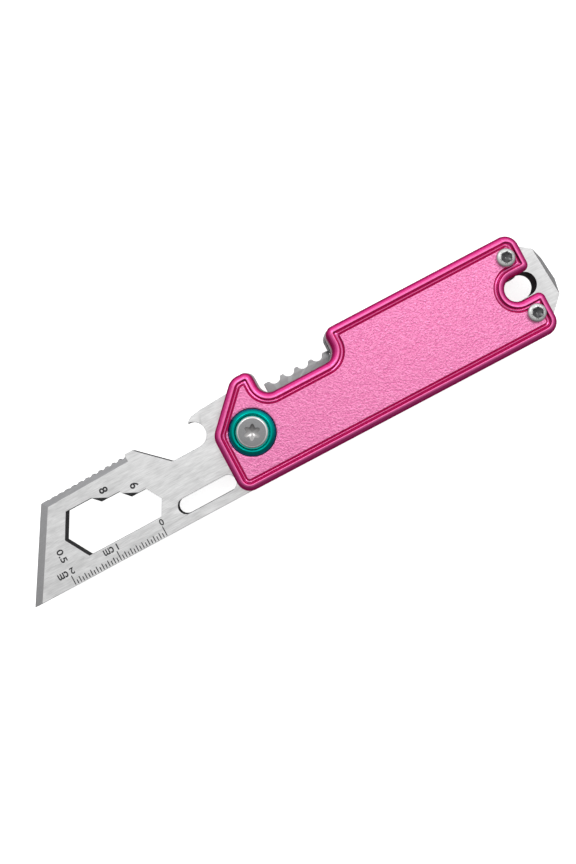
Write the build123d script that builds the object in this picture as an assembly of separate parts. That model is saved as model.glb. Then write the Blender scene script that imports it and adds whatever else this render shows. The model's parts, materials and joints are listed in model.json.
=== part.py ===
from build123d import *
import os
from math import asin, atan2, cos, degrees, radians, sin, tan

# Folding pocket multi-tool, blade open, lying on its back.
# X runs along the tool towards the tail, Y across it towards the thumb cut-out, Z up through the layers.
# Every piece is drawn about the pivot axis and moved to the origin at the end.

# ---- Blade -----------------------------------------------------------------------------------
NECK_LENGTH = 22.3              # pivot axis to the start of the scraper head
HEAD_LENGTH = 31.35             # start of the head to the scraper tip
EDGE_DEPTH = 9.88               # pivot axis to the ruler edge
BLADE_THICKNESS = 2.5
OPEN_TILT = 0.5                 # degrees that the open blade dips below the handle's line
SCRAPER_SETBACK = 10.6          # how far the slanted edge leans back from the tip
HEAD_CORNER_HEIGHT = 7.4        # pivot axis to the head's far corner
SPINE_HEIGHT = 8.1              # pivot axis to the head's highest point
SPINE_FLAT = 2.2                # length of that highest stretch
SERRATION_END_HEIGHT = 7.85     # pivot axis to the near end of the serrated edge
NECK_HEIGHT = 2.5               # pivot axis to the top of the neck
HEAD_SLOPE_RUN = 5.9            # length along X of the slope from the spine to the neck
EDGE_BEVEL_WIDTH = 1.75
SERRATION_BEVEL_WIDTH = 1.3
EDGE_LAND = 0.4                 # thickness left along the scraper edge
SERRATION_BEVEL_DEPTH = 0.9
TOOTH_PITCH = 1.48
TOOTH_COUNT = 12
TOOTH_START = 2.5               # head start to the middle of the nearest valley
TOOTH_RADIUS = 0.8
TOOTH_DEPTH_FAR = 0.12
TOOTH_DEPTH_NEAR = 0.34

# Wrench opening: three hexagons side by side on one flat
RULER_LAND = 3.93               # ruler edge to that flat
WRENCH_FLATS = (9.65, 8.15, 6.2)        # across flats, widest first
WRENCH_FROM_NECK = (14.1, 8.25, 2.9)    # head start to each hexagon's centre
STEP_RELIEF = 0.9               # how far the corner between two hexagons is cut back on the front face
STEP_RELIEF_DEPTH = 2.2
STEP_RELIEF_SLOPE = 26.0        # degrees

# Thumb slot
SLOT_WIDTH = 3.2
SLOT_FROM_EDGE = 3.53           # ruler edge to the slot's centre line
SLOT_NEAR = 7.3                 # pivot axis to the slot's near end
SLOT_NECK_MARGIN = 2.55         # head start to the slot's far end

# Bottle opener
OPENER_REACH = 10.4             # pivot axis to the centre of the opener's notch
OPENER_RADIUS = 2.5
CLAW_HEIGHT = 9.1               # pivot axis to the top of the claw
CLAW_BACK = ((3.4, 0.35), (1.5, 0.6), (0.6, 1.0), (0.0, 1.65))  # past the notch's centre, below its top

# ---- Handle ----------------------------------------------------------------------------------
HANDLE_FRONT = 7.04             # pivot axis to the handle's front end
EDGE_COVER = 0.91               # how far the handle covers the ruler edge when closed
TIP_CLEARANCE = 0.45            # blade's closed tip to the tail plate
TAIL_BLOCK = 6.85               # length of the handle over the tail plate
SCALE_THICKNESS = 2.5
LINER_THICKNESS = 1.0
LINER_INSET = 0.15              # liner edge inside the scale edge
LINER_STEP = 0.5                # liner standing into the thumb cut-out
CORNER_RADIUS = 2.7
NOSE_HEIGHT = 2.55              # pivot axis to the start of the 45 degree front slope
HUMP_START = 0.95               # pivot axis to the end of that slope
CUTOUT_START = 4.85
CUTOUT_LENGTH = 15.95
CUTOUT_DEPTH = 5.76
NOSE_RADIUS = 3.2
HUMP_RADIUS = 3.2
CUTOUT_LIP_RADIUS = 1.6
CUTOUT_FILLET = 2.45
RIM_ROUND = 0.9
GROOVE_INSET = 1.4
GROOVE_WIDTH = 0.5
GROOVE_DEPTH = 0.3
FACE_SINK = 0.1

# ---- Tail ------------------------------------------------------------------------------------
TAIL_AXIS_HEIGHT = 0.8          # pivot axis to the line of the key-ring slot
KEY_SLOT_WIDTH = 4.8
KEY_SLOT_LENGTH = 7.0
KEY_SLOT_SETBACK = 2.45         # handle's tail end to the slot's centre
NOTCH_WIDTH = 4.72
NOTCH_DEPTH = 6.45
NOTCH_OFFSET = -0.2             # notch line below the slot's line
HORN_RADIUS = 1.3
TAIL_SCREW_SPACING = 11.85
TAIL_SCREW_SETBACK = 3.55
TAIL_SCREW_STAGGER = 0.35       # lower screw nearer the tail end than the upper one
TAIL_PLATE_MARGIN = 1.0         # tail plate inside the handle's long edges
TAIL_TIP = ((1.3, -7.4), (3.8, -4.8), (5.3, -1.7), (4.6, 3.1), (3.1, 5.6), (1.0, 7.1))
PRY_BEVEL_DEPTH = 1.9
PRY_BEVEL_FROM = (3.85, -4.65)  # bevel's ridge, from the tail end and the slot's line
PRY_BEVEL_TO = (3.17, 5.4)

# ---- Pivot, stops and fasteners --------------------------------------------------------------
BARREL_RADIUS = 2.4
RUNNING_CLEARANCE = 0.04        # blade bore over the pivot barrel
SLIDE_CLEARANCE = 0.02          # washer face to blade face
FIT_CLEARANCE = 0.05            # a fixed pin or barrel in its hole
SCREW_CLEARANCE = 0.05          # a screw in its tapped sleeve
WASHER_THICKNESS = 0.3
TANG_RADIUS = 6.0
WASHER_MARGIN = 0.5             # washer's edge inside the tang
COLLAR_RADIUS = 4.55
COLLAR_SEAT = 1.3               # depth of the collar's counterbore
COLLAR_CROWN = 0.5              # front collar above the scale
COLLAR_FLOOR = 0.5
HEAD_RADIUS = 3.15              # pivot screw's head
HEAD_PROUD = 0.65
PIVOT_SHANK_RADIUS = 1.6
STOP_PIN_RADIUS = 1.25
STOP_PIN_REACH = 7.8
STOP_PIN_ANGLE = -95.8          # degrees, round the pivot axis
STOP_GAP = 0.03                 # stop pin to the blade's shoulders
STANDOFF_RADIUS = 1.5
TAIL_SHANK_RADIUS = 0.95
TAIL_HEAD_RADIUS = 1.8
TAIL_HEAD_HEIGHT = 0.9

# ---- Lock ------------------------------------------------------------------------------------
LOCK_REACH = 40.0               # pivot axis to the lock bar's flexing root
LOCK_LOW = 1.2                  # lower and upper edges of the bar
LOCK_HIGH = 6.4
LOCK_SLOT = 0.55                # slit between the bar and the liner
LOCK_END_GAP = 0.12             # bar's end to the tang
LOCK_RISE = 0.65                # bar's end above the liner when the blade is locked
LOCK_DROP = 0.86                # bar's end below the liner when the blade is closed
LOCK_RELIEF = 1.0               # depth of the rear scale's pocket under the bar
JIMP_HEIGHT = 7.5               # pivot axis to the tops of the thumb teeth
JIMP_DEPTH = 1.0
JIMP_PITCH = 3.13
JIMP_COUNT = 5
JIMP_RADIUS = 1.2
JIMP_ROUND = 0.3
BALL_RADIUS = 0.6
BALL_PROUD = 0.15
BALL_PLACE = (8.5, 3.1)

# ---- Worked out ------------------------------------------------------------------------------
BLADE_REACH = NECK_LENGTH + HEAD_LENGTH
HANDLE_TOP = EDGE_DEPTH + EDGE_COVER
TAIL_PLATE_FRONT = BLADE_REACH + TIP_CLEARANCE
HANDLE_END = TAIL_PLATE_FRONT + TAIL_BLOCK
CLOSE_ANGLE = 180 + OPEN_TILT
CHANNEL_HEIGHT = BLADE_THICKNESS + 2 * (WASHER_THICKNESS + SLIDE_CLEARANCE)
REAR_LINER_Z = SCALE_THICKNESS
CHANNEL_Z = REAR_LINER_Z + LINER_THICKNESS
BLADE_Z = CHANNEL_Z + WASHER_THICKNESS + SLIDE_CLEARANCE
FRONT_LINER_Z = CHANNEL_Z + CHANNEL_HEIGHT
FRONT_SCALE_Z = FRONT_LINER_Z + LINER_THICKNESS
TOP_Z = FRONT_SCALE_Z + SCALE_THICKNESS
FRONT_SEAT_Z = TOP_Z - COLLAR_SEAT
KEY_SLOT = (HANDLE_END - KEY_SLOT_SETBACK, TAIL_AXIS_HEIGHT)
UPPER_SCREW_X = HANDLE_END - TAIL_SCREW_SETBACK
TAIL_SCREWS = {
    "upper": (UPPER_SCREW_X, TAIL_AXIS_HEIGHT + TAIL_SCREW_SPACING / 2),
    "lower": (UPPER_SCREW_X + TAIL_SCREW_STAGGER, TAIL_AXIS_HEIGHT - TAIL_SCREW_SPACING / 2),
}
STOP_PIN = (
    STOP_PIN_REACH * cos(radians(STOP_PIN_ANGLE)),
    STOP_PIN_REACH * sin(radians(STOP_PIN_ANGLE)),
)
LOCK_END = TANG_RADIUS + LOCK_END_GAP
LOCK_ROOT_Z = REAR_LINER_Z + LINER_THICKNESS / 2
LOCK_RISE_ANGLE = degrees(asin(LOCK_RISE / (LOCK_REACH - LOCK_END)))
LOCK_DROP_ANGLE = degrees(asin(LOCK_DROP / (LOCK_REACH - LOCK_END)))
BEYOND = 1.0                    # how far a cut runs past the face it opens


def inset_corners(corners, inset):
    """Move each side of a counter-clockwise outline inwards, keeping its corner arcs concentric."""
    moved = []
    for i, (x, y, radius) in enumerate(corners):
        before = corners[i - 1]
        after = corners[(i + 1) % len(corners)]
        arrive = Vector(x - before[0], y - before[1]).normalized()
        leave = Vector(after[0] - x, after[1] - y).normalized()
        turn = atan2(arrive.X * leave.Y - arrive.Y * leave.X, arrive.dot(leave))
        slip = inset * tan(turn / 2)
        new_x = x - arrive.Y * inset - arrive.X * slip
        new_y = y + arrive.X * inset - arrive.Y * slip
        new_radius = max(radius - inset, RIM_ROUND / 2) if turn > 0 else radius + inset
        moved.append((new_x, new_y, new_radius))
    return moved


def face_of(corners):
    """A flat face from corners given as x, y and corner radius."""
    points = [(x, y) for x, y, _ in corners]
    radii = [radius for _, _, radius in corners]
    return make_face(FilletPolyline(*points, radius=radii, close=True))


def handle_corners(step=0.0):
    """The handle's outline; step moves the ends of the thumb cut-out towards each other."""
    notch_line = TAIL_AXIS_HEIGHT + NOTCH_OFFSET
    notch_low = notch_line - NOTCH_WIDTH / 2
    notch_high = notch_line + NOTCH_WIDTH / 2
    notch_end = HANDLE_END - NOTCH_DEPTH
    notch_round = NOTCH_WIDTH / 2 - FIT_CLEARANCE
    cutout_floor = HANDLE_TOP - CUTOUT_DEPTH
    cutout_end = CUTOUT_START + CUTOUT_LENGTH
    return [
        (-HANDLE_FRONT, -EDGE_DEPTH, CORNER_RADIUS),
        (HANDLE_END, -EDGE_DEPTH, CORNER_RADIUS),
        (HANDLE_END, notch_low, HORN_RADIUS),
        (notch_end, notch_low, notch_round),
        (notch_end, notch_high, notch_round),
        (HANDLE_END, notch_high, HORN_RADIUS),
        (HANDLE_END, HANDLE_TOP, CORNER_RADIUS),
        (cutout_end - step, HANDLE_TOP, CUTOUT_LIP_RADIUS),
        (cutout_end - step, cutout_floor, CUTOUT_FILLET),
        (CUTOUT_START + step, cutout_floor, CUTOUT_FILLET),
        (CUTOUT_START + step, HANDLE_TOP, CUTOUT_LIP_RADIUS),
        (HUMP_START, HANDLE_TOP, HUMP_RADIUS),
        (-HANDLE_FRONT, NOSE_HEIGHT, NOSE_RADIUS),
    ]


def disc(radius, low, high, place=(0, 0)):
    """A round plug from one height to another."""
    return Pos(place[0], place[1], low) * extrude(Circle(radius), high - low)


def slab(x_low, x_high, y_low, y_high, z_low, z_high):
    """A block between two corners."""
    middle = Pos((x_low + x_high) / 2, (y_low + y_high) / 2, (z_low + z_high) / 2)
    return middle * Box(x_high - x_low, y_high - y_low, z_high - z_low)


def six_lobe(radius):
    """The outline of a six-lobe driver recess."""
    core = Circle(radius * 0.74)
    lobe = Circle(radius * 0.24)
    lobes = PolarLocations(radius * 0.76, 6) * lobe
    return core + lobes


def edge_bevel(start, end, width, depth, top_z):
    """The wedge that bevels a straight edge; the blade lies to the left of start to end."""
    along = Vector(end[0] - start[0], end[1] - start[1])
    inward = Vector(-along.Y, along.X).normalized()
    section = make_face(Polyline(
        (width, 0),
        (width, BEYOND),
        (-BEYOND, BEYOND),
        (-BEYOND, -depth * (width + BEYOND) / width),
        close=True,
    ))
    plane = Plane(origin=(start[0], start[1], top_z), x_dir=inward, z_dir=along.normalized())
    return plane * extrude(section, along.length)


def both_faces(wedge, middle_z):
    """A cut made the same on both faces of the blade."""
    return wedge + mirror(wedge, about=Plane.XY.offset(middle_z))


# ---- Handle ----------------------------------------------------------------------------------
def scale_blank():
    """A scale with its inner face at zero: rounded rim, groove and slightly sunk face."""
    outline = face_of(handle_corners())
    blank = extrude(outline, SCALE_THICKNESS)
    blank = fillet(blank.faces().sort_by(Axis.Z)[-1].edges(), RIM_ROUND)
    groove_out = face_of(inset_corners(handle_corners(), GROOVE_INSET))
    groove_in = face_of(inset_corners(handle_corners(), GROOVE_INSET + GROOVE_WIDTH))
    top = Pos(0, 0, SCALE_THICKNESS)
    blank -= top * extrude(groove_out - groove_in, -GROOVE_DEPTH)
    blank -= top * extrude(groove_in, -FACE_SINK)
    return blank


def front_scale():
    scale = Pos(0, 0, FRONT_SCALE_Z) * scale_blank()
    scale -= disc(COLLAR_RADIUS + FIT_CLEARANCE, FRONT_SEAT_Z, TOP_Z + BEYOND)
    scale -= disc(BARREL_RADIUS + FIT_CLEARANCE, FRONT_SCALE_Z - BEYOND, TOP_Z)
    for place in TAIL_SCREWS.values():
        scale -= disc(TAIL_SHANK_RADIUS + FIT_CLEARANCE, FRONT_SCALE_Z - BEYOND, TOP_Z + BEYOND, place)
        scale -= disc(TAIL_HEAD_RADIUS + FIT_CLEARANCE, TOP_Z - FACE_SINK, TOP_Z + BEYOND, place)
    return scale


def rear_scale():
    scale = Pos(0, 0, SCALE_THICKNESS) * mirror(scale_blank(), about=Plane.XY)
    scale -= disc(COLLAR_RADIUS + FIT_CLEARANCE, -BEYOND, COLLAR_SEAT)
    scale -= disc(BARREL_RADIUS + FIT_CLEARANCE, 0, SCALE_THICKNESS + BEYOND)
    for place in TAIL_SCREWS.values():
        scale -= disc(TAIL_SHANK_RADIUS + FIT_CLEARANCE, 0, SCALE_THICKNESS + BEYOND, place)
        scale -= disc(TAIL_HEAD_RADIUS + FIT_CLEARANCE, -BEYOND, FACE_SINK + TAIL_HEAD_HEIGHT, place)
    pocket_low = SCALE_THICKNESS - LOCK_RELIEF
    pocket = slab(
        LOCK_END - LOCK_SLOT, LOCK_REACH + LOCK_SLOT, LOCK_LOW - LOCK_SLOT, JIMP_HEIGHT + LOCK_SLOT,
        pocket_low, SCALE_THICKNESS + BEYOND,
    )
    return scale - pocket


def liner_blank(low):
    """A liner plate with its bores, lying on the given height."""
    corners = inset_corners(handle_corners(LINER_STEP), LINER_INSET)
    plate = Pos(0, 0, low) * extrude(face_of(corners), LINER_THICKNESS)
    high = low + LINER_THICKNESS + BEYOND
    plate -= disc(BARREL_RADIUS + FIT_CLEARANCE, low - BEYOND, high)
    plate -= disc(STOP_PIN_RADIUS + FIT_CLEARANCE, low - BEYOND, high, STOP_PIN)
    for place in TAIL_SCREWS.values():
        plate -= disc(STANDOFF_RADIUS + FIT_CLEARANCE, low - BEYOND, high, place)
    return plate


def front_liner():
    return liner_blank(FRONT_LINER_Z)


def rear_liner():
    window = slab(
        LOCK_END - LOCK_SLOT, LOCK_REACH + FIT_CLEARANCE + LINER_THICKNESS / 2,
        LOCK_LOW - LOCK_SLOT, LOCK_HIGH + LOCK_SLOT,
        REAR_LINER_Z - BEYOND, CHANNEL_Z + BEYOND,
    )
    return liner_blank(REAR_LINER_Z) - window


# ---- Lock ------------------------------------------------------------------------------------
def lock_teeth():
    """The wavy thumb pad that stands in the cut-out, as a flat face."""
    end = CUTOUT_START + CUTOUT_LENGTH - LINER_STEP + FIT_CLEARANCE
    pad = make_face(Polyline(
        (LOCK_END, LOCK_LOW + BEYOND), (end, LOCK_LOW + BEYOND), (end, JIMP_HEIGHT), (LOCK_END, JIMP_HEIGHT),
        close=True,
    ))
    middle = (LOCK_END + end) / 2
    valley_y = JIMP_HEIGHT - JIMP_DEPTH + JIMP_RADIUS
    for i in range(JIMP_COUNT - 1):
        valley_x = middle + (i - (JIMP_COUNT - 2) / 2) * JIMP_PITCH
        pad -= Pos(valley_x, valley_y) * Circle(JIMP_RADIUS)
    crests = [v for v in pad.vertices() if abs(v.Y - JIMP_HEIGHT) < FIT_CLEARANCE]
    return fillet(crests, JIMP_ROUND)


def lock_bar():
    """The spring leaf, drawn flat and then raised about its root to the locked position."""
    end = LOCK_REACH
    leaf = make_face(Polyline(
        (LOCK_END, LOCK_LOW), (end, LOCK_LOW), (end, LOCK_HIGH), (LOCK_END, LOCK_HIGH), close=True,
    ))
    bar = Pos(0, 0, REAR_LINER_Z) * extrude(leaf + lock_teeth(), LINER_THICKNESS)
    root = Plane.XZ.offset(-LOCK_LOW) * Pos(LOCK_REACH, LOCK_ROOT_Z) * Circle(LINER_THICKNESS / 2)
    bar += extrude(root, -(LOCK_HIGH - LOCK_LOW))
    bar -= disc(BALL_RADIUS + SLIDE_CLEARANCE, REAR_LINER_Z - BEYOND, CHANNEL_Z + BEYOND, BALL_PLACE)
    return raise_lock(bar)


def raise_lock(piece):
    """Turn a piece on the lock bar about the bar's root, so that its free end stands in the channel."""
    root = Axis((LOCK_REACH, 0, LOCK_ROOT_Z), (0, 1, 0))
    return piece.rotate(root, LOCK_RISE_ANGLE)


def detent_ball():
    ball = Pos(BALL_PLACE[0], BALL_PLACE[1], CHANNEL_Z + BALL_PROUD - BALL_RADIUS) * Sphere(BALL_RADIUS)
    return raise_lock(ball)


# ---- Blade -----------------------------------------------------------------------------------
def shoulder_angles():
    """Directions of the two shoulders that meet the stop pin, open and closed, in the blade's own frame."""
    half = degrees(asin((STOP_PIN_RADIUS + STOP_GAP) / STOP_PIN_REACH))
    open_shoulder = STOP_PIN_ANGLE - half - OPEN_TILT
    closed_shoulder = STOP_PIN_ANGLE + half + 180
    return radians(open_shoulder), radians(closed_shoulder)


def blade_outline():
    open_shoulder, closed_shoulder = shoulder_angles()
    spine_near = -NECK_LENGTH
    spine_far = spine_near - SPINE_FLAT
    claw_back = [(-OPENER_REACH + past, CLAW_HEIGHT - drop, 0.2) for past, drop in CLAW_BACK]
    corners = [
        (-BLADE_REACH, -EDGE_DEPTH, 0),
        (-EDGE_DEPTH / tan(open_shoulder), -EDGE_DEPTH, 0.3),
        (0, 0, 0),
        (CLAW_HEIGHT / tan(closed_shoulder), CLAW_HEIGHT, 0.3),
        *claw_back,
        (-OPENER_REACH, NECK_HEIGHT, 0),
        (spine_near + HEAD_SLOPE_RUN, NECK_HEIGHT, 0.6),
        (spine_near, SPINE_HEIGHT, 0.3),
        (spine_far, SPINE_HEIGHT, 0.1),
        (spine_far - (SPINE_HEIGHT - SERRATION_END_HEIGHT), SERRATION_END_HEIGHT, 0.1),
        (-BLADE_REACH + SCRAPER_SETBACK, HEAD_CORNER_HEIGHT, 0.6),
    ]
    outline = face_of(corners)
    outline += Circle(TANG_RADIUS)
    outline -= Pos(-OPENER_REACH, NECK_HEIGHT + OPENER_RADIUS) * Circle(OPENER_RADIUS)
    return outline


def wrench_centres():
    """Centre and across-flats size of each hexagon of the wrench opening."""
    flat_y = -(EDGE_DEPTH - RULER_LAND)
    return [
        (-NECK_LENGTH - from_neck, flat_y + across / 2, across)
        for across, from_neck in zip(WRENCH_FLATS, WRENCH_FROM_NECK)
    ]


def wrench_opening():
    """Three hexagons that share one flat, so that nuts of three sizes fit one opening."""
    centres = wrench_centres()
    far_x, far_y, far_across = centres[0]
    near_x, _, near_across = centres[-1]
    land = near_across / 2
    opening = Pos((far_x + near_x) / 2, far_y - far_across / 2 + land / 2) * Rectangle(near_x - far_x, land)
    for x, y, across in centres:
        opening += Pos(x, y) * RegularPolygon(across / 2, 6, major_radius=False)
    return opening


def step_reliefs(top_z):
    """Slanted cuts that free the two corners where one hexagon steps down to the next."""
    slope = radians(STEP_RELIEF_SLOPE)
    cuts = []
    for (x, y, across), (_, next_y, next_across) in zip(wrench_centres(), wrench_centres()[1:]):
        flat_end = x + across / 2 * tan(radians(30))
        drop = (y + across / 2) - (next_y + next_across / 2)
        corner = Vector(flat_end + drop * tan(radians(30)), next_y + next_across / 2)
        run = Vector(cos(slope), -sin(slope))
        before = STEP_RELIEF / tan(radians(60) - slope)
        after = STEP_RELIEF / tan(slope)
        start = corner - run * before
        end = corner + run * after
        cuts.append(edge_bevel((start.X, start.Y), (end.X, end.Y), STEP_RELIEF, STEP_RELIEF_DEPTH, top_z))
    return cuts


def thumb_slot():
    far = -NECK_LENGTH + SLOT_NECK_MARGIN
    length = -SLOT_NEAR - far
    return Pos((far - SLOT_NEAR) / 2, -(EDGE_DEPTH - SLOT_FROM_EDGE)) * SlotOverall(length, SLOT_WIDTH)


def tooth_valleys(far, near):
    """Round valleys along the serrated edge, deeper towards the neck."""
    valleys = None
    for i in range(TOOTH_COUNT):
        x = -NECK_LENGTH - TOOTH_START - i * TOOTH_PITCH
        y = far[1] + (near[1] - far[1]) * (x - far[0]) / (near[0] - far[0])
        depth = TOOTH_DEPTH_NEAR + (TOOTH_DEPTH_FAR - TOOTH_DEPTH_NEAR) * i / TOOTH_COUNT
        valley = Pos(x, y + TOOTH_RADIUS - depth) * Circle(TOOTH_RADIUS)
        valleys = valley if valleys is None else valleys + valley
    return valleys


def blade():
    head_far = (-BLADE_REACH + SCRAPER_SETBACK, HEAD_CORNER_HEIGHT)
    tip = (-BLADE_REACH, -EDGE_DEPTH)
    serration_end = (-NECK_LENGTH - TOOTH_START + TOOTH_RADIUS, SERRATION_END_HEIGHT)
    profile = blade_outline() - wrench_opening() - thumb_slot() - tooth_valleys(head_far, serration_end)
    profile -= Circle(BARREL_RADIUS + RUNNING_CLEARANCE)
    plate = Pos(0, 0, BLADE_Z) * extrude(profile, BLADE_THICKNESS)
    top_z = BLADE_Z + BLADE_THICKNESS
    middle_z = BLADE_Z + BLADE_THICKNESS / 2
    scraper = edge_bevel(head_far, tip, EDGE_BEVEL_WIDTH, (BLADE_THICKNESS - EDGE_LAND) / 2, top_z)
    plate -= both_faces(scraper, middle_z)
    plate -= edge_bevel(serration_end, head_far, SERRATION_BEVEL_WIDTH, SERRATION_BEVEL_DEPTH, top_z)
    for cut in step_reliefs(top_z):
        plate -= cut
    return plate.rotate(Axis.Z, OPEN_TILT)


# ---- Tail ------------------------------------------------------------------------------------
def tail_plate():
    low = -EDGE_DEPTH + TAIL_PLATE_MARGIN
    high = HANDLE_TOP - TAIL_PLATE_MARGIN
    tip = [(HANDLE_END + x, TAIL_AXIS_HEIGHT + y, 0.8) for x, y in TAIL_TIP]
    corners = [
        (TAIL_PLATE_FRONT, low, 0),
        (HANDLE_END - TAIL_PLATE_MARGIN, low, 0.8),
        *tip,
        (HANDLE_END - TAIL_PLATE_MARGIN, high, 0.8),
        (TAIL_PLATE_FRONT, high, 0),
    ]
    plate = Pos(0, 0, CHANNEL_Z) * extrude(face_of(corners), CHANNEL_HEIGHT)
    high_z = FRONT_LINER_Z + BEYOND
    key_slot = SlotOverall(KEY_SLOT_LENGTH, KEY_SLOT_WIDTH)
    plate -= Pos(*KEY_SLOT, CHANNEL_Z - BEYOND) * extrude(key_slot, CHANNEL_HEIGHT + 2 * BEYOND)
    for place in TAIL_SCREWS.values():
        plate -= disc(STANDOFF_RADIUS + FIT_CLEARANCE, CHANNEL_Z - BEYOND, high_z, place)
    ridge_low = Vector(HANDLE_END + PRY_BEVEL_FROM[0], TAIL_AXIS_HEIGHT + PRY_BEVEL_FROM[1])
    ridge_high = Vector(HANDLE_END + PRY_BEVEL_TO[0], TAIL_AXIS_HEIGHT + PRY_BEVEL_TO[1])
    along = (ridge_high - ridge_low).normalized()
    outward = Vector(along.Y, -along.X)
    reach = HANDLE_END + TAIL_TIP[2][0] - ridge_low.X
    start = ridge_low - along * BEYOND * 3 + outward * reach
    end = ridge_high + along * BEYOND * 3 + outward * reach
    return plate - edge_bevel((start.X, start.Y), (end.X, end.Y), reach, PRY_BEVEL_DEPTH, FRONT_LINER_Z)


# ---- Pivot and fasteners ---------------------------------------------------------------------
def pivot_washer(low):
    ring = Circle(TANG_RADIUS - WASHER_MARGIN) - Circle(BARREL_RADIUS + FIT_CLEARANCE)
    return Pos(0, 0, low) * extrude(ring, WASHER_THICKNESS)


def pivot_barrel():
    """A sleeve nut: flat head in the rear collar, tapped bore open to the front."""
    head_top = COLLAR_SEAT - COLLAR_FLOOR
    barrel = disc(HEAD_RADIUS - FIT_CLEARANCE, FACE_SINK, head_top)
    barrel += disc(BARREL_RADIUS, head_top, FRONT_SEAT_Z)
    barrel -= disc(PIVOT_SHANK_RADIUS + SCREW_CLEARANCE, CHANNEL_Z, FRONT_SEAT_Z + BEYOND)
    return barrel


def pivot_screw():
    head_low = FRONT_SEAT_Z + COLLAR_FLOOR
    head_high = TOP_Z + HEAD_PROUD
    head = disc(HEAD_RADIUS, head_low, head_high)
    head = chamfer(head.faces().sort_by(Axis.Z)[-1].edges(), 0.42)
    screw = head + disc(PIVOT_SHANK_RADIUS, CHANNEL_Z + BEYOND, head_low)
    return screw - Pos(0, 0, head_high - 1.0) * extrude(six_lobe(1.5), 1.0 + BEYOND)


def front_pivot_collar():
    crown = COLLAR_SEAT + COLLAR_CROWN
    bore = HEAD_RADIUS + FIT_CLEARANCE
    section = make_face(Polyline(
        (BARREL_RADIUS, 0), (COLLAR_RADIUS, 0), (COLLAR_RADIUS, COLLAR_SEAT - FACE_SINK), (4.0, crown),
        (3.65, crown), (bore, crown - 0.4), (bore, COLLAR_FLOOR), (BARREL_RADIUS, COLLAR_FLOOR),
        close=True,
    ))
    return Pos(0, 0, FRONT_SEAT_Z) * revolve(Plane.XZ * section, Axis.Z)


def rear_pivot_collar():
    ring = disc(COLLAR_RADIUS, FACE_SINK, COLLAR_SEAT)
    ring -= disc(HEAD_RADIUS, 0, COLLAR_SEAT - COLLAR_FLOOR)
    return ring - disc(BARREL_RADIUS + FIT_CLEARANCE, 0, COLLAR_SEAT + BEYOND)


def stop_pin():
    return disc(STOP_PIN_RADIUS, REAR_LINER_Z, FRONT_SCALE_Z, STOP_PIN)


def tail_standoff(place):
    sleeve = disc(STANDOFF_RADIUS, REAR_LINER_Z, FRONT_SCALE_Z, place)
    return sleeve - disc(TAIL_SHANK_RADIUS + SCREW_CLEARANCE, 0, TOP_Z, place)


def front_tail_screw(place):
    seat = TOP_Z - FACE_SINK
    head = disc(TAIL_HEAD_RADIUS, seat, seat + TAIL_HEAD_HEIGHT, place)
    head = fillet(head.faces().sort_by(Axis.Z)[-1].edges(), 0.45)
    screw = head + disc(TAIL_SHANK_RADIUS, FRONT_LINER_Z - BEYOND, seat, place)
    recess = Pos(place[0], place[1], seat + 0.2) * extrude(six_lobe(1.05), TAIL_HEAD_HEIGHT)
    return screw - recess


def rear_tail_screw(place):
    seat = FACE_SINK + TAIL_HEAD_HEIGHT
    screw = disc(TAIL_HEAD_RADIUS, FACE_SINK, seat, place)
    screw += disc(TAIL_SHANK_RADIUS, seat, CHANNEL_Z + BEYOND, place)
    recess = Pos(place[0], place[1], 0) * extrude(six_lobe(1.05), seat - 0.2)
    return screw - recess


def all_pieces():
    """Every piece by name, drawn about the pivot axis."""
    pieces = {
        "front_scale": front_scale(),
        "rear_scale": rear_scale(),
        "front_liner": front_liner(),
        "rear_liner": rear_liner(),
        "lock_bar": lock_bar(),
        "detent_ball": detent_ball(),
        "blade": blade(),
        "front_pivot_washer": pivot_washer(FRONT_LINER_Z - WASHER_THICKNESS),
        "rear_pivot_washer": pivot_washer(CHANNEL_Z),
        "pivot_barrel": pivot_barrel(),
        "pivot_screw": pivot_screw(),
        "front_pivot_collar": front_pivot_collar(),
        "rear_pivot_collar": rear_pivot_collar(),
        "stop_pin": stop_pin(),
        "tail_plate": tail_plate(),
    }
    for side, place in TAIL_SCREWS.items():
        pieces[f"{side}_tail_standoff"] = tail_standoff(place)
        pieces[f"front_tail_screw_{side}"] = front_tail_screw(place)
        pieces[f"rear_tail_screw_{side}"] = rear_tail_screw(place)
    return pieces


# The origin is under the middle of the open tool, on the surface that it lies on.
pieces = all_pieces()
whole = Compound(list(pieces.values())).bounding_box()
ORIGIN = Vector(whole.center().X, whole.center().Y, whole.min.Z)

os.makedirs("parts", exist_ok=True)
for name, piece in pieces.items():
    export_step(piece.moved(Location(-ORIGIN)), f"parts/{name}.step")
print("pivot axis at", [round(value, 4) for value in (-ORIGIN.X, -ORIGIN.Y)])
print("size", [round(value, 3) for value in whole.size])
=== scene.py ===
# %% [markdown]
# # A folding pocket multi-tool
# The tool lies on its back with the blade open. Its parts come in already drawn and in place, as the
# frame. This script gives them their real surfaces: broken edges, grooves, driver recesses, laser marks
# and finishes. Everything is in metres. Sizes are written in millimetres, because that is how a maker
# thinks of a pocket tool, and `MM` turns them into metres.

# %% Load the frame
import json
from math import atan2, cos, degrees, pi, radians, sin, tan

import bmesh
import bpy
from mathutils import Matrix, Vector


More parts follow.
